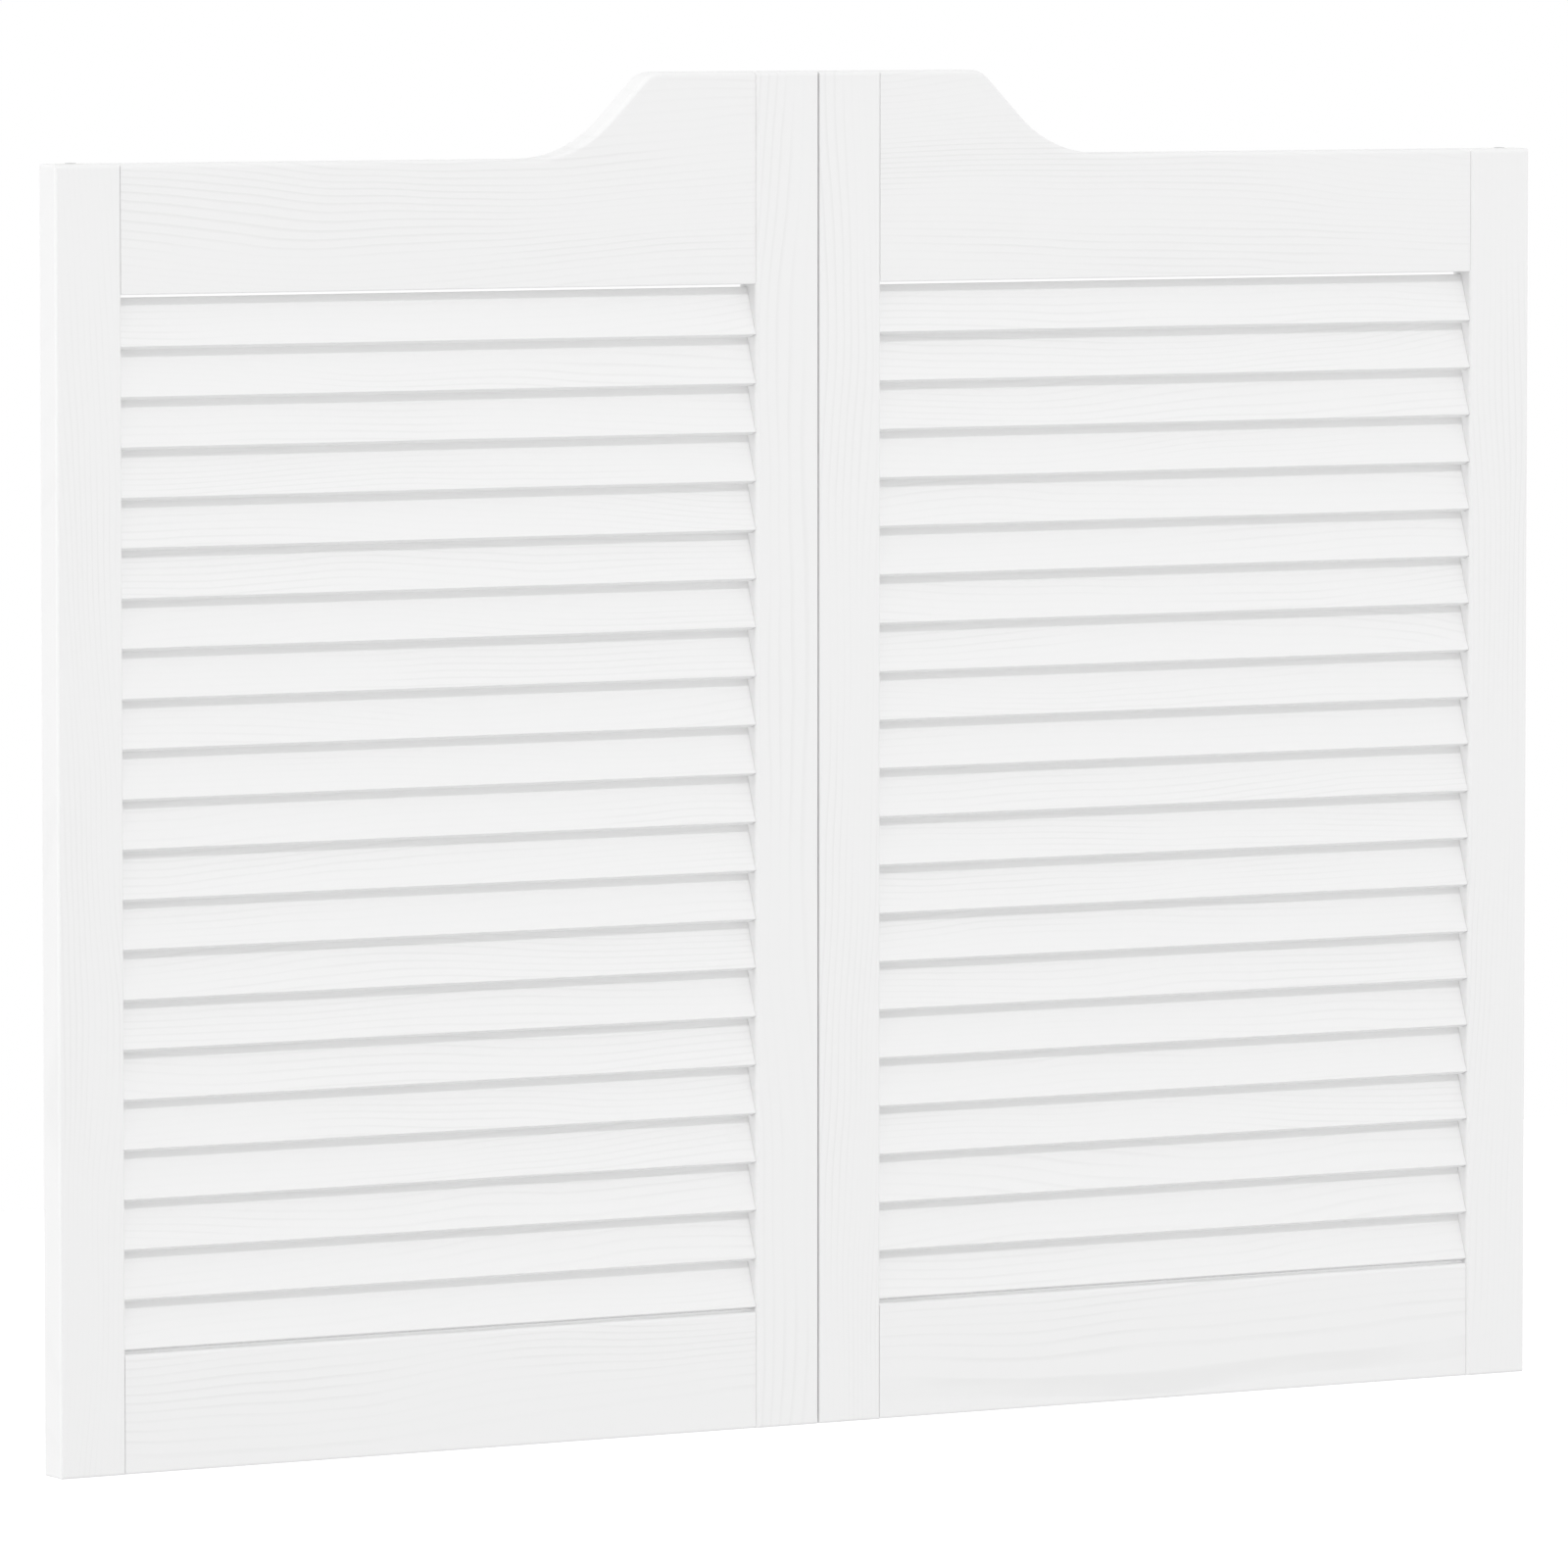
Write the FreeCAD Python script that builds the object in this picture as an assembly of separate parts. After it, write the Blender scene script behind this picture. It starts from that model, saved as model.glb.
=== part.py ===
import FreeCAD, Part
import math
import os

# A pair of louvred cafe doors, hung between two jambs on double-action pivots.
#
# Each leaf is two stiles, a shaped top rail and a bottom rail, dowelled together,
# with a bank of fixed louvre slats let into housings in the stiles.  Blind nylon bushes
# in the ends of the outer stile turn on steel pins.  The pins stand still: each has a
# tapped hole in its outer end, by which the doorway's own fitting is screwed to it.
#
# X runs across the doorway, -Y is the front and +Z is up.  X = 0 is the middle of the
# gap where the leaves meet, Y = 0 the middle of their thickness and Z = 0 the outer end
# of the lower pins.  The right-hand side is modelled and mirrored to the left.
# All sizes are in millimetres.

Vector = FreeCAD.Vector

# ---- Leaf --------------------------------------------------------------------------
leaf_width = 534.55
leaf_thickness = 22.0
meeting_gap = 0.8
hinge_side_height = 797.0
shoulder_rise = 53.0  # the top edge at the meeting side, above the hinge side
stile_width = 45.0
bottom_rail_height = 73.6
top_rail_height = 79.4  # at the hinge side
rail_setback = 1.2  # rail faces behind the stile faces, front and back

# The top edge runs level from the meeting edge, turns down over a shoulder, drops in a
# straight slope and sweeps out into the lower level.
plateau_length = 119.9  # from the meeting edge to the shoulder's unrounded corner
slope_angle = 45.0  # degrees below level
shoulder_radius = 18.0
sweep_radius = 80.0

# Rounded arrises
inner_arris = 2.5  # stiles, towards the rails and slats
outer_arris = 2.0  # hinge stile, towards the jamb
meeting_arris = 1.2  # meeting stile, towards the other leaf
top_arris = 3.0
bottom_arris = 2.0
sill_arris = 2.4  # upper edge of the bottom rail
head_arris = 1.0  # lower edge of the top rail

# ---- Louvre ------------------------------------------------------------------------
# The slats' width follows from their number and their overlap, which keeps the closed
# leaf from being seen through from in front.
slat_count = 21
slat_thickness = 6.0
slat_arris = 0.5
slat_tilt = 20.0  # degrees from upright, lower edge to the front
slat_overlap = 0.85  # upper edge of each slat above the lower edge of the next
slat_setback = 1.3  # front of the slats behind the front of the stiles
slat_sill_gap = 1.3  # lowest slat above the bottom rail
slat_head_gap = 1.85  # highest slat below the top rail
housing_depth = 8.0  # how far a slat reaches into a stile
housing_clearance = 0.15  # around the slat
housing_end_clearance = 0.3  # past the end of the slat

# ---- Dowels ------------------------------------------------------------------------
dowel_diameter = 8.0
dowel_cover = 2.45  # wood between the dowel holes and the bush seat
dowel_edge_distance = 20.0  # from the rail's upper and lower edges
dowel_clearance = 0.05  # radial
dowel_end_clearance = 0.5
dowel_chamfer = 1.0

# ---- Pivots ------------------------------------------------------------------------
pivot_inset = 16.0  # axis from the leaf's outer edge
pin_diameter = 8.0
pin_reach = 20.0  # into the leaf
pin_proud = 0.5  # outer end past the end of the leaf
pin_chamfer = 0.8
tapping_diameter = 4.2  # for an M5 screw
tapped_depth = 12.0
tapping_point_angle = 118.0  # degrees, at the bottom of the tapped hole
running_clearance = 0.05  # radial, pin in bush
thrust_clearance = 0.1  # pin to the closed end of the bush
bush_wall = 2.0
bush_floor = 3.5  # its closed end
bush_flange_width = 2.5  # past the outside of the bush
bush_flange_thickness = 1.5
bush_clearance = 0.05  # radial, bush in stile
bush_end_clearance = 1.0  # bore past the end of the bush

# ---- Sizes that follow -------------------------------------------------------------
front = -leaf_thickness / 2
back = leaf_thickness / 2

meeting_edge = meeting_gap / 2
rail_start = meeting_edge + stile_width
outer_edge = meeting_edge + leaf_width
rail_end = outer_edge - stile_width
rail_front = front + rail_setback
rail_back = back - rail_setback

leaf_base = pin_proud
sill = leaf_base + bottom_rail_height
low_top = leaf_base + hinge_side_height
high_top = low_top + shoulder_rise
head = low_top - top_rail_height

pivot_x = outer_edge - pivot_inset
pin_radius = pin_diameter / 2
bush_bore_radius = pin_radius + running_clearance
bush_bore_depth = pin_reach + thrust_clearance
bush_radius = pin_radius + bush_wall
bush_length = bush_bore_depth + bush_floor
flange_radius = bush_radius + bush_flange_width
stile_middle = (leaf_base + low_top) / 2  # the two ends of the hinge stile are alike

tilt = math.radians(slat_tilt)
slat_pitch = (head - slat_head_gap - sill - slat_sill_gap - slat_overlap) / slat_count
slat_rise = slat_pitch + slat_overlap
core_thickness = slat_thickness - 2 * slat_arris  # between the centres of the arrises
core_width = (slat_rise - 2 * slat_arris - core_thickness * math.sin(tilt)) / math.cos(tilt)
slat_width = core_width + 2 * slat_arris
slat_depth = core_width * math.sin(tilt) + core_thickness * math.cos(tilt) + 2 * slat_arris
slat_y = front + slat_setback + slat_depth / 2
first_slat_z = sill + slat_sill_gap + slat_rise / 2

# The dowels reach as far into the rails as into the stiles.
dowel_room = stile_width - pivot_inset - bush_radius - bush_clearance - dowel_cover
dowel_length = 2 * (dowel_room - dowel_end_clearance)


# ---- Helpers -----------------------------------------------------------------------
shortest_edge = 1e-6  # a run between two bends that is shorter is left out
edge_slack = 0.01  # an edge within this of a plane lies in it


def in_xy(u, v):
    return Vector(u, v, 0)


def in_xz(u, v):
    return Vector(u, 0, v)


def in_yz(u, v):
    return Vector(0, u, v)


def outline(corners, plane):
    """A face bounded by (u, v, radius) corners, each rounded to its radius."""
    bends = []
    for index, (u, v, radius) in enumerate(corners):
        here = Vector(u, v, 0)
        before = Vector(*corners[index - 1][:2], 0)
        after = Vector(*corners[(index + 1) % len(corners)][:2], 0)
        back_way = (before - here).normalize()
        on_way = (after - here).normalize()
        half = back_way.getAngle(on_way) / 2
        tangent = radius / math.tan(half)
        middle = (back_way + on_way).normalize() * (radius / math.sin(half) - radius)
        arc = (here + back_way * tangent, here + middle, here + on_way * tangent)
        bends.append([plane(point.x, point.y) for point in arc])
    edges = []
    for index, (start, middle, end) in enumerate(bends):
        if corners[index][2] > 0:
            edges.append(Part.Arc(start, middle, end).toShape())
        next_start = bends[(index + 1) % len(bends)][0]
        if end.distanceToPoint(next_start) > shortest_edge:
            edges.append(Part.LineSegment(end, next_start).toShape())
    return Part.Face(Part.Wire(edges))


def slab(corners, plane, low, high):
    """The outline, extruded across its plane from low to high."""
    normal = Vector(1, 1, 1) - plane(1, 1)
    face = outline(corners, plane)
    face.translate(normal * low)
    return face.extrude(normal * (high - low))


def upright(radius, length, x, z):
    return Part.makeCylinder(radius, length, Vector(x, 0, z))


def along_x(radius, length, x, z):
    return Part.makeCylinder(radius, length, Vector(x, 0, z), Vector(1, 0, 0))


def flipped(shape, level):
    """The shape turned upside down, as its image in the horizontal plane at level."""
    return shape.mirror(Vector(0, 0, level), Vector(0, 0, 1))


def on_left(shape):
    return shape.mirror(Vector(0, 0, 0), Vector(1, 0, 0))


def write(name, solids):
    """One STEP file of one solid, or of a group of separate solids."""
    shape = solids[0] if len(solids) == 1 else Part.makeCompound(solids)
    shape.exportStep(f"parts/{name}.step")


# ---- Louvre slats ------------------------------------------------------------------
def slat_shape(index, clearance, x_low, x_high):
    """A tilted bar with eased edges, or its housing where a clearance is given."""
    z = first_slat_z + index * slat_pitch
    corners = []
    for along, across in ((-1, -1), (1, -1), (1, 1), (-1, 1)):
        u = along * (slat_width / 2 + clearance)
        v = across * (slat_thickness / 2 + clearance)
        y_corner = slat_y + u * math.sin(tilt) + v * math.cos(tilt)
        z_corner = z + u * math.cos(tilt) - v * math.sin(tilt)
        corners.append((y_corner, z_corner, slat_arris + clearance))
    return slab(corners, in_yz, x_low, x_high)


def slat(index):
    return slat_shape(index, 0, rail_start - housing_depth, rail_end + housing_depth)


def housings(x_low, x_high):
    return [slat_shape(index, housing_clearance, x_low, x_high) for index in range(slat_count)]


# ---- Dowels ------------------------------------------------------------------------
def dowel_levels(rail_low, rail_high):
    return (rail_low + dowel_edge_distance, rail_high - dowel_edge_distance)


joints = [
    (rail_start, level)
    for level in dowel_levels(leaf_base, sill) + dowel_levels(head, high_top)
] + [
    (rail_end, level)
    for level in dowel_levels(leaf_base, sill) + dowel_levels(head, low_top)
]


def dowel(x, z):
    start = x - dowel_length / 2
    core = along_x(dowel_diameter / 2, dowel_length, start, z)
    return core.makeChamfer(dowel_chamfer, [core.Edges[0], core.Edges[2]])


def dowel_holes():
    radius = dowel_diameter / 2 + dowel_clearance
    length = dowel_length + 2 * dowel_end_clearance
    return [along_x(radius, length, x - length / 2, z) for x, z in joints]


# ---- Pivot parts -------------------------------------------------------------------
def bush():
    """Flanged blind bush in the bottom of the stile, its flange level with the end."""
    body = upright(bush_radius, bush_length, pivot_x, leaf_base)
    flange = upright(flange_radius, bush_flange_thickness, pivot_x, leaf_base)
    bore = upright(bush_bore_radius, bush_bore_depth, pivot_x, leaf_base)
    return body.fuse(flange).removeSplitter().cut(bore)


def bush_seat():
    """The counterbored hole that the bush is pressed into."""
    depth = bush_length + bush_end_clearance
    hole = upright(bush_radius + bush_clearance, depth, pivot_x, leaf_base)
    recess = upright(flange_radius + bush_clearance, bush_flange_thickness, pivot_x, leaf_base)
    return hole.fuse(recess)


def pin():
    """Lower pin, its outer end down and tapped."""
    length = pin_proud + pin_reach
    tapping_radius = tapping_diameter / 2
    point = tapping_radius / math.tan(math.radians(tapping_point_angle / 2))
    profile = [
        (tapping_radius, 0),
        (pin_radius - pin_chamfer, 0),
        (pin_radius, pin_chamfer),
        (pin_radius, length - pin_chamfer),
        (pin_radius - pin_chamfer, length),
        (0, length),
        (0, tapped_depth + point),
        (tapping_radius, tapped_depth),
        (tapping_radius, 0),
    ]
    section = Part.Face(Part.makePolygon([in_xz(*corner) for corner in profile]))
    shape = section.revolve(Vector(0, 0, 0), Vector(0, 0, 1), 360)
    shape.translate(Vector(pivot_x, 0, 0))
    return shape


# ---- Stiles and rails --------------------------------------------------------------
def stile(inner_side, free_side, free_arris, top):
    """A stile whose long arrises are rounded, and its ends on the three free sides."""
    x_low = min(inner_side, free_side)
    x_high = max(inner_side, free_side)
    plan = slab(
        [
            (free_side, front, free_arris),
            (inner_side, front, inner_arris),
            (inner_side, back, inner_arris),
            (free_side, back, free_arris),
        ],
        in_xy,
        leaf_base,
        top,
    )
    side = slab(
        [
            (front, leaf_base, bottom_arris),
            (back, leaf_base, bottom_arris),
            (back, top, top_arris),
            (front, top, top_arris),
        ],
        in_yz,
        x_low,
        x_high,
    )
    face = slab(
        [
            (free_side, leaf_base, free_arris),
            (inner_side, leaf_base, 0),
            (inner_side, top, 0),
            (free_side, top, free_arris),
        ],
        in_xz,
        front,
        back,
    )
    return plan.common(side).common(face)


def hinge_stile():
    blank = stile(rail_end, outer_edge, outer_arris, low_top)
    reach = rail_end + housing_depth + housing_end_clearance
    seat = bush_seat()
    upper_seat = flipped(seat, stile_middle)
    cuts = housings(rail_end, reach) + dowel_holes() + [seat, upper_seat]
    return blank.cut(Part.makeCompound(cuts))


def meeting_stile():
    blank = stile(rail_start, meeting_edge, meeting_arris, high_top)
    reach = rail_start - housing_depth - housing_end_clearance
    cuts = housings(reach, rail_start) + dowel_holes()
    return blank.cut(Part.makeCompound(cuts))


def bottom_rail():
    blank = slab(
        [
            (rail_front, leaf_base, bottom_arris),
            (rail_back, leaf_base, bottom_arris),
            (rail_back, sill, sill_arris),
            (rail_front, sill, sill_arris),
        ],
        in_yz,
        rail_start,
        rail_end,
    )
    return blank.cut(Part.makeCompound(dowel_holes()))


def face_edges(board, low, high):
    """The edges of the board's front and back faces that lie between two levels."""
    found = []
    for edge in board.Edges:
        box = edge.BoundBox
        in_face = box.YLength < edge_slack
        in_levels = low - edge_slack < box.ZMin and box.ZMax < high + edge_slack
        if in_face and in_levels:
            found.append(edge)
    return found


def top_rail():
    shoulder_x = meeting_edge + plateau_length
    drop = high_top - low_top
    sweep_x = shoulder_x + drop / math.tan(math.radians(slope_angle))
    board = slab(
        [
            (rail_start, head, 0),
            (rail_end, head, 0),
            (rail_end, low_top, 0),
            (sweep_x, low_top, sweep_radius),
            (shoulder_x, high_top, shoulder_radius),
            (rail_start, high_top, 0),
        ],
        in_xz,
        rail_front,
        rail_back,
    )
    board = board.makeFillet(top_arris, face_edges(board, low_top, high_top))
    board = board.makeFillet(head_arris, face_edges(board, head, head))
    return board.cut(Part.makeCompound(dowel_holes()))


# ---- Assembly ----------------------------------------------------------------------
os.makedirs("parts", exist_ok=True)

lower_bush = bush()
lower_pin = pin()
right_nodes = {
    "hinge_stile": [hinge_stile()],
    "meeting_stile": [meeting_stile()],
    "top_rail": [top_rail()],
    "bottom_rail": [bottom_rail()],
    "dowels": [dowel(x, z) for x, z in joints],
    "pivot_bushes": [lower_bush, flipped(lower_bush, stile_middle)],
    "lower_pivot_pin": [lower_pin],
    "upper_pivot_pin": [flipped(lower_pin, stile_middle)],
}
for index in range(slat_count):
    right_nodes[f"slat_{index + 1:02d}"] = [slat(index)]

for name, solids in right_nodes.items():
    write(f"right_{name}", solids)
    write(f"left_{name}", [on_left(solid) for solid in solids])
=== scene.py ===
import bpy
import math
import random
from collections import namedtuple
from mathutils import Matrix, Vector


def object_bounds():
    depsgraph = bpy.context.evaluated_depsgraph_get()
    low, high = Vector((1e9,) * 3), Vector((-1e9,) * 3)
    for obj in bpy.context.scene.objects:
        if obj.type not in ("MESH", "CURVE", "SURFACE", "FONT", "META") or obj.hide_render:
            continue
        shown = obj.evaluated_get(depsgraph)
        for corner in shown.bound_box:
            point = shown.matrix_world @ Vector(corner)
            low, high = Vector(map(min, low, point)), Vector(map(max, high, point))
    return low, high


# Cafe swinging doors: white satin paint over pine, turning on pins hidden in the stiles.
# The CAD nodes keep their own meshes.  This script gives each one its finish, and sets
# up the floor, the light and the camera.

MM = 0.001
WHITE = (1.0, 1.0, 1.0, 1.0)

# ---- Camera: where the picture was taken from --------------------------------------
CAMERA_PLACE = (-3.7910, -6.3825, 0.9366)
CAMERA_YAW = -30.583  # degrees from straight on, seen from the left
CAMERA_PITCH = 4.107  # degrees below level
CAMERA_LENS = 272.24  # mm
SENSOR_WIDTH = 36.0  # mm
CAMERA_REACH = 100.0

# ---- Light -------------------------------------------------------------------------
WORLD_LEVEL = 0.80  # what the surroundings shed on the doors
HORIZON_GLOW = 0.32  # more of it at eye level
HORIZON_HEIGHT = 0.42  # where the glow ends, as the sine of its elevation
KEY_LEVEL = 0.172  # sun from above the front, square on to it
KEY_AZIMUTH = 0.0
KEY_ELEVATION = 38.0
KEY_SPREAD = 5.0
SIDE_LEVEL = 0.20  # broad light from the left
SIDE_AZIMUTH = -97.0  # degrees round from the front, so that it only grazes the front
SIDE_ELEVATION = 14.0
SIDE_SPREAD = 30.0

# ---- Floor -------------------------------------------------------------------------
FLOOR_DROP = 0.38  # the doors hang this far above it
FLOOR_SIZE = 9.0
FLOOR_COLOUR = (0.8, 0.8, 0.8, 1.0)
FLOOR_ROUGHNESS = 0.9
FLOOR_GLOW = 0.42  # lifts the lit floor to white for the camera and leaves shadows on it

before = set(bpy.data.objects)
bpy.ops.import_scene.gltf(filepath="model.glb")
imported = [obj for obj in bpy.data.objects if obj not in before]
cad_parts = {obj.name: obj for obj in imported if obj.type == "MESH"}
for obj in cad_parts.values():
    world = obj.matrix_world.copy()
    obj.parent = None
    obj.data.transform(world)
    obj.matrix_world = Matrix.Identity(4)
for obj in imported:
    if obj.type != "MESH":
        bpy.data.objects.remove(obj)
cad_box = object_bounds()


# ---- Node helpers ------------------------------------------------------------------
class Nodes:
    """Short ways to write a node tree."""

    def __init__(self, tree):
        self.tree = tree

    def add(self, kind, **settings):
        node = self.tree.nodes.new(kind)
        for name, value in settings.items():
            setattr(node, name, value)
        return node

    def join(self, source, target):
        self.tree.links.new(source, target)

    def feed(self, socket, value):
        """Sets a socket to a number or colour, or links another socket into it."""
        if isinstance(value, bpy.types.NodeSocket):
            self.join(value, socket)
        else:
            socket.default_value = value

    def feed_all(self, sockets, values):
        for socket, value in zip(sockets, values):
            self.feed(socket, value)

    def math(self, operation, *values):
        node = self.add("ShaderNodeMath", operation=operation)
        self.feed_all(node.inputs, values)
        return node.outputs[0]

    def combine(self, x, y, z):
        node = self.add("ShaderNodeCombineXYZ")
        self.feed_all(node.inputs, (x, y, z))
        return node.outputs[0]

    def separate(self, vector):
        node = self.add("ShaderNodeSeparateXYZ")
        self.join(vector, node.inputs[0])
        return node.outputs

    def noise(self, vector, detail, roughness):
        node = self.add("ShaderNodeTexNoise")
        self.join(vector, node.inputs["Vector"])
        node.inputs["Scale"].default_value = 1.0
        node.inputs["Detail"].default_value = detail
        node.inputs["Roughness"].default_value = roughness
        return node.outputs["Fac"]

    def noise_over(self, scales, detail=3.0, roughness=0.6):
        """Noise over the piece's own space, in cells per metre along each axis."""
        node = self.add("ShaderNodeVectorMath", operation="MULTIPLY")
        self.feed_all(node.inputs, (self.place(), scales))
        return self.noise(node.outputs[0], detail, roughness)

    def ramp(self, value, low, high, to_low=0.0, to_high=1.0):
        """A smooth step from to_low to to_high; it falls when low is above high."""
        node = self.add("ShaderNodeMapRange", interpolation_type="SMOOTHSTEP")
        for name, number in (("Value", value), ("From Min", low), ("From Max", high),
                             ("To Min", to_low), ("To Max", to_high)):
            self.feed(node.inputs[name], number)
        return node.outputs[0]

    def blend(self, factor, first, second):
        node = self.add("ShaderNodeMix", data_type="RGBA")
        self.feed(node.inputs["Factor"], factor)
        self.feed(node.inputs["A"], first)
        self.feed(node.inputs["B"], second)
        return node.outputs["Result"]

    def seed(self):
        """The piece's own grain_seed."""
        node = self.add("ShaderNodeAttribute", attribute_type="OBJECT", attribute_name="grain_seed")
        return node.outputs["Fac"]

    def place(self):
        return self.add("ShaderNodeTexCoord").outputs["Object"]

    def bump(self, height, distance):
        node = self.add("ShaderNodeBump")
        node.inputs["Strength"].default_value = 1.0
        node.inputs["Distance"].default_value = distance
        self.join(height, node.inputs["Height"])
        return node.outputs["Normal"]


def new_material(name):
    """An empty material with a Principled shader, as (material, nodes, shader)."""
    material = bpy.data.materials.new(name)
    material.use_nodes = True
    material.node_tree.nodes.clear()
    nodes = Nodes(material.node_tree)
    shader = nodes.add("ShaderNodeBsdfPrincipled")
    output = nodes.add("ShaderNodeOutputMaterial")
    nodes.join(shader.outputs[0], output.inputs["Surface"])
    return material, nodes, shader


# ---- Painted pine ------------------------------------------------------------------
# Noise scales are cells per metre, along and across the grain.
PAINT = (0.87, 0.87, 0.87, 1.0)
PAINT_IN_GRAIN = (0.826, 0.826, 0.825, 1.0)
PAINT_SPECULAR = 0.35
PAINT_ROUGHNESS = 0.36
PAINT_ROUGHNESS_SWING = 0.14
GLOSS_SCALES = (30.0, 30.0, 30.0)

PIECE_SPACING = 3.7  # metres along the board for each unit of the seed
RING_SPACING = 4.2 * MM
LATE_WOOD = (0.55, 0.86)  # share of a ring in which it darkens
RING_END = (1.0, 0.9)  # and in which it clears again
DRIFT_SCALES = (1.6, 5.0)  # slow bending of the rings
DRIFT_REACH = 85.0 * MM
WANDER_SCALES = (9.0, 22.0)  # quick bending of the rings
WANDER_REACH = 6.0 * MM
PITH_SIDE = 50.0 * MM  # furthest to a side of the board's middle
PITH_SIDE_TURN = 12.9  # spreads the seeds over that width
PITH_DEPTH = 34.0 * MM
PITH_DEPTH_SWING = 12.0 * MM
PITH_DEPTH_TURN = 7.3

PATCH_SCALES = (4.0, 26.0)  # where the grain shows through the paint
PATCH_EDGES = (0.42, 0.66)
FAINTEST_GRAIN = 0.15
FIBRE_SCALES = (14.0, 900.0)
FIBRE_TINT = 0.22
BRUSH_SCALES = (22.0, 260.0)

RING_RELIEF = 0.055  # mm
FIBRE_RELIEF = 0.010
BRUSH_RELIEF = 0.012

# How strongly the grain shows
RAIL_FIGURE = 1.0
SLAT_FIGURE = 0.8
STILE_FIGURE = 0.7

Board = namedtuple("Board", "along across depth seed")


def board_space(nodes, grain_axis):
    """The piece's own space as a board, moved along the grain for each piece."""
    x, y, z = nodes.separate(nodes.place())
    along, across = (x, z) if grain_axis == "X" else (z, x)
    seed = nodes.seed()
    along = nodes.math("ADD", along, nodes.math("MULTIPLY", seed, PIECE_SPACING))
    return Board(along, across, y, seed)


def face_noise(nodes, board, scales, detail, roughness):
    """Noise that runs straight into the board and differs from piece to piece."""
    along = nodes.math("MULTIPLY", board.along, scales[0])
    across = nodes.math("MULTIPLY", board.across, scales[1])
    return nodes.noise(nodes.combine(along, across, board.seed), detail, roughness)


def streak_noise(nodes, board, scales, detail, roughness):
    """Noise in streaks along the grain, as fine into the board as across it."""
    along = nodes.math("MULTIPLY", board.along, scales[0])
    across = nodes.math("MULTIPLY", board.across, scales[1])
    depth = nodes.math("MULTIPLY", board.depth, scales[1])
    return nodes.noise(nodes.combine(along, across, depth), detail, roughness)


def bent_across(nodes, board):
    """The place across the board, bent so that the rings aren't straight."""
    drift = nodes.math("SUBTRACT", face_noise(nodes, board, DRIFT_SCALES, 2.0, 0.45), 0.5)
    wander = nodes.math("SUBTRACT", face_noise(nodes, board, WANDER_SCALES, 1.0, 0.5), 0.5)
    bent = nodes.math("ADD", board.across, nodes.math("MULTIPLY", drift, DRIFT_REACH))
    return nodes.math("ADD", bent, nodes.math("MULTIPLY", wander, WANDER_REACH))


def growth_rings(nodes, board):
    """How strongly the late wood of a ring shows, 0 to 1, on a flat-sawn board."""
    # The pith lies behind the face, at a depth and height of the piece's own.
    side_turn = nodes.math("SINE", nodes.math("MULTIPLY", board.seed, PITH_SIDE_TURN))
    deep_turn = nodes.math("SINE", nodes.math("MULTIPLY", board.seed, PITH_DEPTH_TURN))
    pith_side = nodes.math("MULTIPLY", side_turn, PITH_SIDE)
    pith_deep = nodes.math("MULTIPLY_ADD", deep_turn, PITH_DEPTH_SWING, PITH_DEPTH)
    aside = nodes.math("ADD", bent_across(nodes, board), pith_side)
    behind = nodes.math("SUBTRACT", board.depth, pith_deep)
    squares = nodes.math("ADD", nodes.math("POWER", aside, 2.0), nodes.math("POWER", behind, 2.0))
    radius = nodes.math("SQRT", squares)
    turns = nodes.math("FRACT", nodes.math("DIVIDE", radius, RING_SPACING))
    return nodes.math("MULTIPLY", nodes.ramp(turns, *LATE_WOOD), nodes.ramp(turns, *RING_END))


def showing_grain(nodes, board):
    """The rings where the paint lets them through, in patches."""
    patch = nodes.ramp(face_noise(nodes, board, PATCH_SCALES, 2.0, 0.6), *PATCH_EDGES)
    through = nodes.math("MULTIPLY_ADD", patch, 1.0 - FAINTEST_GRAIN, FAINTEST_GRAIN)
    return nodes.math("MULTIPLY", growth_rings(nodes, board), through)


def painted_pine(name, grain_axis, figure):
    """White satin paint that the pine's grain telegraphs through."""
    material, nodes, shader = new_material(name)
    board = board_space(nodes, grain_axis)
    grain = showing_grain(nodes, board)
    fibre = streak_noise(nodes, board, FIBRE_SCALES, 3.0, 0.6)
    brush = streak_noise(nodes, board, BRUSH_SCALES, 2.0, 0.5)

    fibre_tint = nodes.math("MULTIPLY", nodes.math("SUBTRACT", fibre, 0.5), FIBRE_TINT)
    tint = nodes.math("ADD", nodes.math("MULTIPLY", grain, figure), fibre_tint)
    colour = nodes.blend(nodes.math("MAXIMUM", tint, 0.0), PAINT, PAINT_IN_GRAIN)
    nodes.join(colour, shader.inputs["Base Color"])

    gloss = nodes.noise_over(GLOSS_SCALES)
    roughness = nodes.math("MULTIPLY_ADD", gloss, PAINT_ROUGHNESS_SWING, PAINT_ROUGHNESS)
    nodes.join(roughness, shader.inputs["Roughness"])
    shader.inputs["Specular IOR Level"].default_value = PAINT_SPECULAR

    height = nodes.math("MULTIPLY", grain, RING_RELIEF * figure)
    height = nodes.math("ADD", height, nodes.math("MULTIPLY", fibre, FIBRE_RELIEF))
    height = nodes.math("ADD", height, nodes.math("MULTIPLY", brush, BRUSH_RELIEF))
    nodes.join(nodes.bump(height, MM), shader.inputs["Normal"])
    return material


# ---- Dowels, pins and bushes -------------------------------------------------------
BEECH_DARK = (0.56, 0.40, 0.25, 1.0)
BEECH_LIGHT = (0.69, 0.53, 0.36, 1.0)
BEECH_FLECK = (0.40, 0.27, 0.16, 1.0)
BEECH_ROUGHNESS = 0.62
BEECH_GRAIN_SCALES = (25.0, 420.0, 420.0)
BEECH_FLECK_SCALES = (240.0, 1900.0, 1900.0)
BEECH_FLECK_EDGES = (0.58, 0.7)
BEECH_FLECK_STRENGTH = 0.6
BEECH_RELIEF = 0.03 * MM

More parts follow.
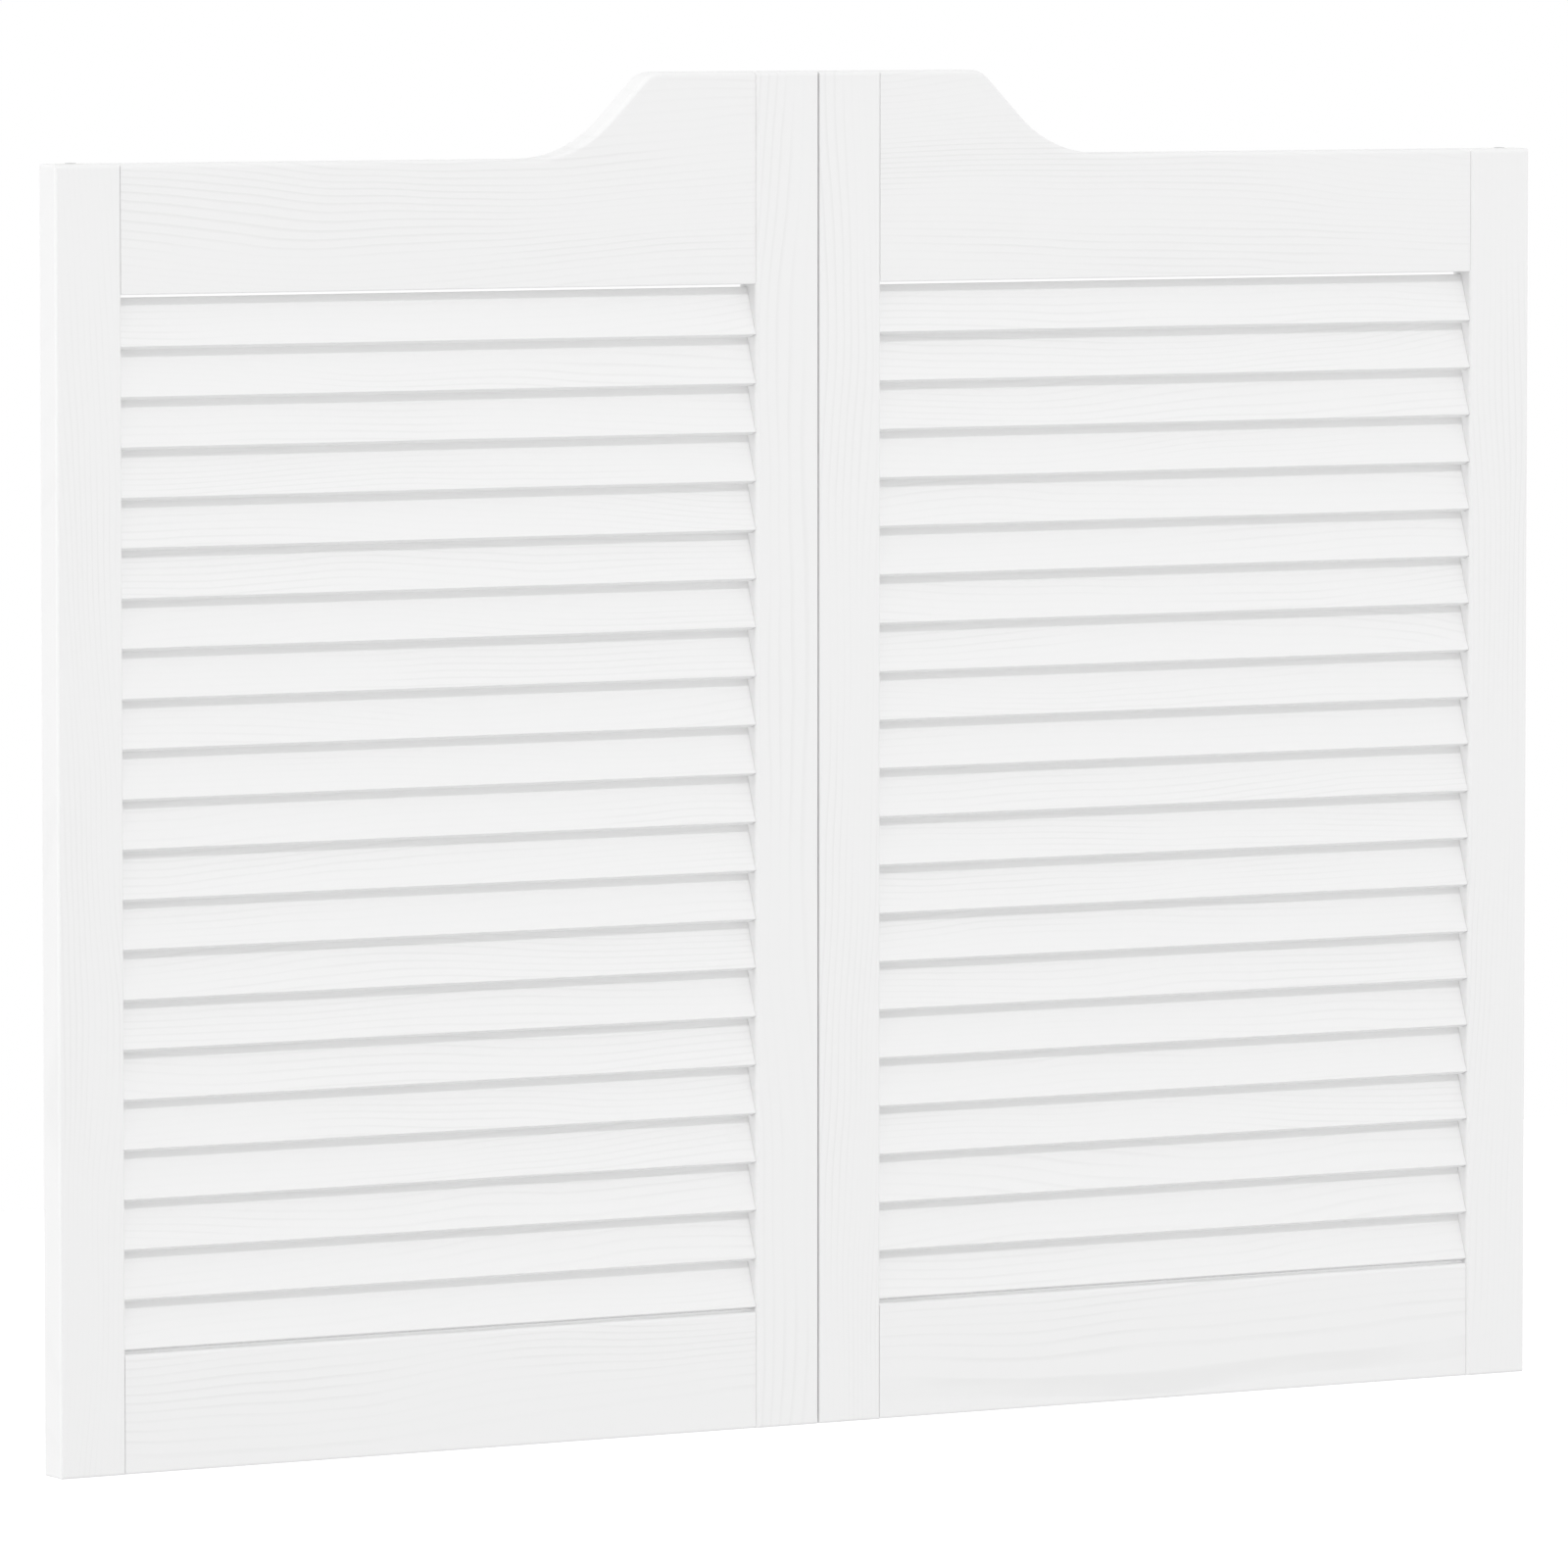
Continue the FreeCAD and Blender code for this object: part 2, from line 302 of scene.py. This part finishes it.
ZINC_DARK = (0.60, 0.61, 0.62, 1.0)
ZINC_LIGHT = (0.72, 0.72, 0.70, 1.0)
ZINC_ROUGHNESS = 0.24
ZINC_ROUGHNESS_SWING = 0.2
ZINC_BLOOM_SCALES = (180.0, 180.0, 180.0)
ZINC_TURNING_SCALES = (40.0, 40.0, 5200.0)
ZINC_RELIEF = 0.008 * MM

NYLON_DARK = (0.80, 0.79, 0.74, 1.0)
NYLON_LIGHT = (0.86, 0.85, 0.81, 1.0)
NYLON_ROUGHNESS = 0.42
NYLON_ROUGHNESS_SWING = 0.15
NYLON_CLOUD_SCALES = (120.0, 120.0, 120.0)
NYLON_RELIEF = 0.02 * MM


def clouded(nodes, shader, cloud, dark, light, roughness, swing):
    """Lets a noise vary a surface's colour and roughness a little."""
    nodes.join(nodes.blend(cloud, dark, light), shader.inputs["Base Color"])
    nodes.join(nodes.math("MULTIPLY_ADD", cloud, swing, roughness), shader.inputs["Roughness"])


def bare_beech():
    """Turned beech: short dark flecks along the dowel."""
    material, nodes, shader = new_material("bare_beech")
    grain = nodes.noise_over(BEECH_GRAIN_SCALES)
    fleck = nodes.ramp(nodes.noise_over(BEECH_FLECK_SCALES, 1.0, 0.5), *BEECH_FLECK_EDGES)
    fleck = nodes.math("MULTIPLY", fleck, BEECH_FLECK_STRENGTH)
    tone = nodes.blend(grain, BEECH_DARK, BEECH_LIGHT)
    nodes.join(nodes.blend(fleck, tone, BEECH_FLECK), shader.inputs["Base Color"])
    shader.inputs["Roughness"].default_value = BEECH_ROUGHNESS
    nodes.join(nodes.bump(grain, BEECH_RELIEF), shader.inputs["Normal"])
    return material


def zinc_plate():
    """Bright zinc on turned steel: fine rings round the pin and a faint bloom."""
    material, nodes, shader = new_material("zinc_plate")
    bloom = nodes.noise_over(ZINC_BLOOM_SCALES)
    clouded(nodes, shader, bloom, ZINC_DARK, ZINC_LIGHT, ZINC_ROUGHNESS, ZINC_ROUGHNESS_SWING)
    shader.inputs["Metallic"].default_value = 1.0
    turned = nodes.noise_over(ZINC_TURNING_SCALES, 2.0)
    nodes.join(nodes.bump(turned, ZINC_RELIEF), shader.inputs["Normal"])
    return material


def natural_nylon():
    """Moulded nylon, waxy and a little uneven."""
    material, nodes, shader = new_material("natural_nylon")
    cloud = nodes.noise_over(NYLON_CLOUD_SCALES)
    clouded(nodes, shader, cloud, NYLON_DARK, NYLON_LIGHT, NYLON_ROUGHNESS, NYLON_ROUGHNESS_SWING)
    nodes.join(nodes.bump(cloud, NYLON_RELIEF), shader.inputs["Normal"])
    return material


# ---- Dressing the pieces -----------------------------------------------------------
SEEDS = (1.0, 40.0)


def make_finishes():
    """Each finish by the word in a node's name that calls for it."""
    return {
        "dowels": bare_beech(),
        "pin": zinc_plate(),
        "bushes": natural_nylon(),
        "stile": painted_pine("painted_pine_stile", "Z", STILE_FIGURE),
        "slat": painted_pine("painted_pine_slat", "X", SLAT_FIGURE),
        "rail": painted_pine("painted_pine_rail", "X", RAIL_FIGURE),
    }


def dress_all():
    """Puts each piece's finish in its material slot and gives it its own grain."""
    finishes = make_finishes()
    for name in sorted(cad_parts):
        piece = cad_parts[name]
        finish = next(finishes[word] for word in finishes if word in name)
        piece.data.materials.clear()
        piece.data.materials.append(finish)
        piece["grain_seed"] = random.Random(name).uniform(*SEEDS)


# ---- Surroundings ------------------------------------------------------------------
def seen_directly(nodes):
    """1 for camera, glossy and transmission rays, which see the white background."""
    path = nodes.add("ShaderNodeLightPath")
    seen = nodes.math("MAXIMUM", path.outputs["Is Camera Ray"], path.outputs["Is Glossy Ray"])
    return nodes.math("MAXIMUM", seen, path.outputs["Is Transmission Ray"])


def make_world():
    world = bpy.data.worlds.new("surroundings")
    bpy.context.scene.world = world
    world.use_nodes = True
    world.node_tree.nodes.clear()
    nodes = Nodes(world.node_tree)
    background = nodes.add("ShaderNodeBackground")
    background.inputs["Color"].default_value = WHITE
    direction = nodes.add("ShaderNodeTexCoord").outputs["Generated"]
    height = nodes.math("ABSOLUTE", nodes.separate(direction)[2])
    glow = nodes.ramp(height, 0.0, HORIZON_HEIGHT, WORLD_LEVEL + HORIZON_GLOW, WORLD_LEVEL)
    seen = seen_directly(nodes)
    unseen = nodes.math("SUBTRACT", 1.0, seen)
    level = nodes.math("MULTIPLY_ADD", glow, unseen, seen)
    nodes.join(level, background.inputs["Strength"])
    output = nodes.add("ShaderNodeOutputWorld")
    nodes.join(background.outputs[0], output.inputs["Surface"])


def add_to_scene(name, data):
    thing = bpy.data.objects.new(name, data)
    bpy.context.scene.collection.objects.link(thing)
    return thing


def make_sun(name, level, azimuth, elevation, spread):
    """A sun whose full light turns a white surface square to it to the given level."""
    light = bpy.data.lights.new(name, "SUN")
    light.energy = level * math.pi
    light.angle = math.radians(spread)
    a = math.radians(azimuth)
    e = math.radians(elevation)
    towards = Vector((math.sin(a) * math.cos(e), -math.cos(a) * math.cos(e), math.sin(e)))
    sun = add_to_scene(name, light)
    sun.rotation_euler = (-towards).to_track_quat("-Z", "Y").to_euler()


def floor_material():
    material, nodes, shader = new_material("floor")
    shader.inputs["Base Color"].default_value = FLOOR_COLOUR
    shader.inputs["Roughness"].default_value = FLOOR_ROUGHNESS
    shader.inputs["Specular IOR Level"].default_value = 0.0
    shader.inputs["Emission Color"].default_value = WHITE
    glow = nodes.math("MULTIPLY", seen_directly(nodes), FLOOR_GLOW)
    nodes.join(glow, shader.inputs["Emission Strength"])
    return material


def make_floor():
    half = FLOOR_SIZE / 2
    level = cad_box[0].z - FLOOR_DROP
    corners = [(x * half, y * half, level) for x, y in ((-1, -1), (1, -1), (1, 1), (-1, 1))]
    mesh = bpy.data.meshes.new("floor")
    mesh.from_pydata(corners, [], [(0, 1, 2, 3)])
    mesh.materials.append(floor_material())
    floor = add_to_scene("floor", mesh)


def make_camera():
    data = bpy.data.cameras.new("camera")
    data.lens = CAMERA_LENS
    data.sensor_width = SENSOR_WIDTH
    data.clip_end = CAMERA_REACH
    camera = add_to_scene("camera", data)
    camera.location = CAMERA_PLACE
    camera.rotation_euler = (math.radians(90.0 - CAMERA_PITCH), 0.0, math.radians(CAMERA_YAW))
    bpy.context.scene.camera = camera


dress_all()
make_world()
make_sun("key", KEY_LEVEL, KEY_AZIMUTH, KEY_ELEVATION, KEY_SPREAD)
make_sun("side", SIDE_LEVEL, SIDE_AZIMUTH, SIDE_ELEVATION, SIDE_SPREAD)
make_floor()
make_camera()
bpy.context.scene.view_settings.view_transform = "Standard"
